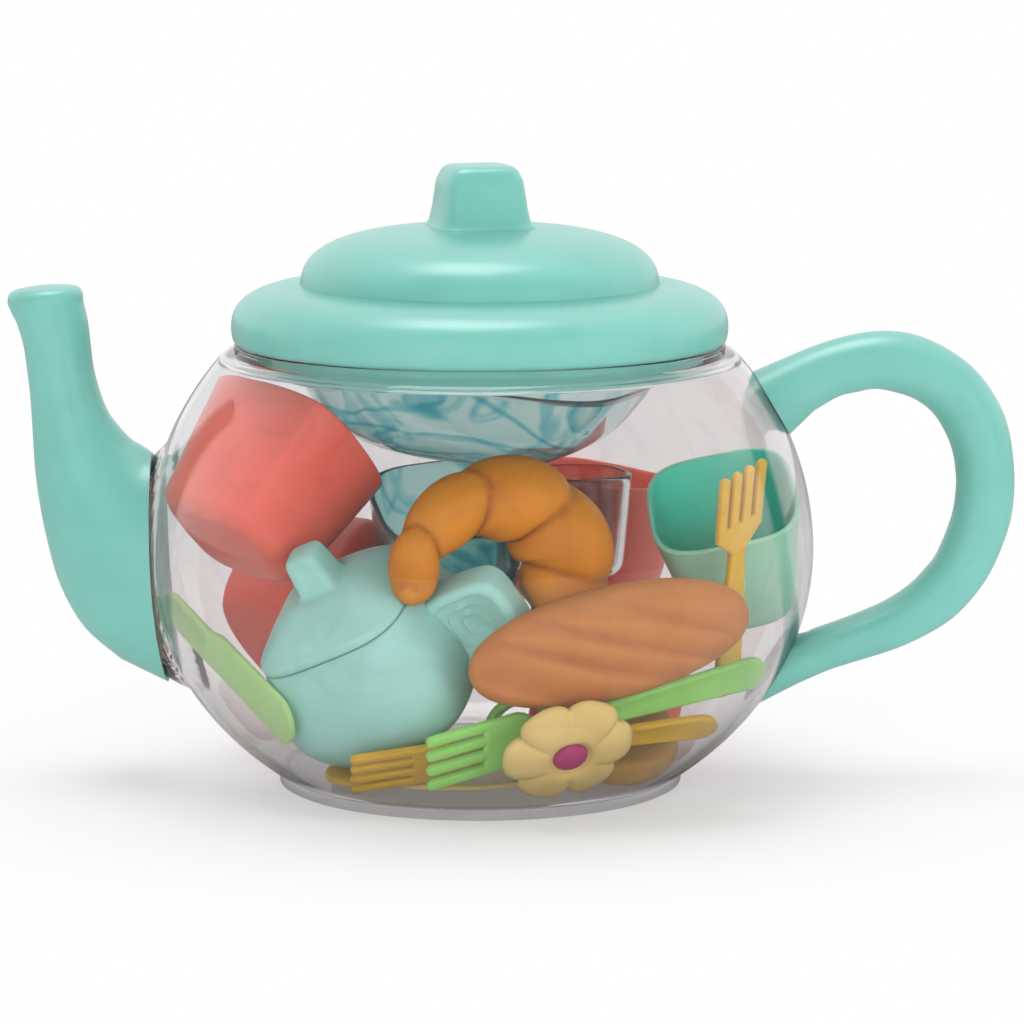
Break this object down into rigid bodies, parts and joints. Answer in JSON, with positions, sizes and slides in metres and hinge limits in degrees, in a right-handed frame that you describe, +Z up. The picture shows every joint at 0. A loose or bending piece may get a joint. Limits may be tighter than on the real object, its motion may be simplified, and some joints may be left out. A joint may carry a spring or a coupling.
{
  "type": "toy teapot",
  "caption": "Clear round toy teapot with a lift-off two-tier lid, a spout and a loop handle, holding a play tea set of cups, a small pot, cutlery and pretend food.",
  "frame": {"origin": "middle of the bowl's flat foot, on its axis, in the plane of the surface it stands on", "axes": "+X towards the handle, so the spout is at -X; +Z up along the bowl's and the lid's axis; -Y towards the side that the picture shows"},
  "size_m": [0.3343, 0.222, 0.2062],
  "materials": {
    "clear_plastic": "clear gloss",
    "teal_plastic": "satin gloss",
    "coral_plastic": "satin gloss",
    "clear_teal_plastic": "clear gloss",
    "clear_pale_plastic": "clear gloss",
    "pale_teal_plastic": "satin gloss",
    "sea_green_plastic": "satin gloss",
    "croissant_plastic": "satin",
    "bread_plastic": "satin",
    "biscuit_plastic": "satin",
    "leaf_green_plastic": "satin gloss",
    "pale_green_plastic": "satin gloss",
    "yellow_plastic": "satin gloss",
    "cream_plastic": "satin gloss",
    "flower_yellow_plastic": "satin gloss",
    "magenta_plastic": "satin gloss"
  },
  "bodies": {
    "pot_body": {"bowl": "clear_plastic", "spout": "teal_plastic", "handle": "teal_plastic", "cup_left": "coral_plastic", "cup_low": "coral_plastic", "cup_back": "coral_plastic", "cup_right": "coral_plastic", "dish": "clear_teal_plastic", "clear_cup": "clear_teal_plastic", "beaker": "clear_pale_plastic", "pot": "pale_teal_plastic", "pot_lid": "pale_teal_plastic", "creamer": "sea_green_plastic", "croissant": "croissant_plastic", "loaf": "bread_plastic", "biscuit": "biscuit_plastic", "green_fork": "leaf_green_plastic", "yellow_fork": "yellow_plastic", "side_fork": "yellow_plastic", "green_knife": "pale_green_plastic", "yellow_knife": "yellow_plastic", "napkin_ring": "leaf_green_plastic", "flower": "flower_yellow_plastic", "flower_eye": "magenta_plastic", "saucer": "cream_plastic"},
    "lid_body": {"lid": "teal_plastic"}
  },
  "joints": [
    {"name": "lid_lift", "type": "slide", "parent": "pot_body", "child": "lid_body", "axis": [0, 0, 1], "range_m": [0, 0.1]}
  ]
}
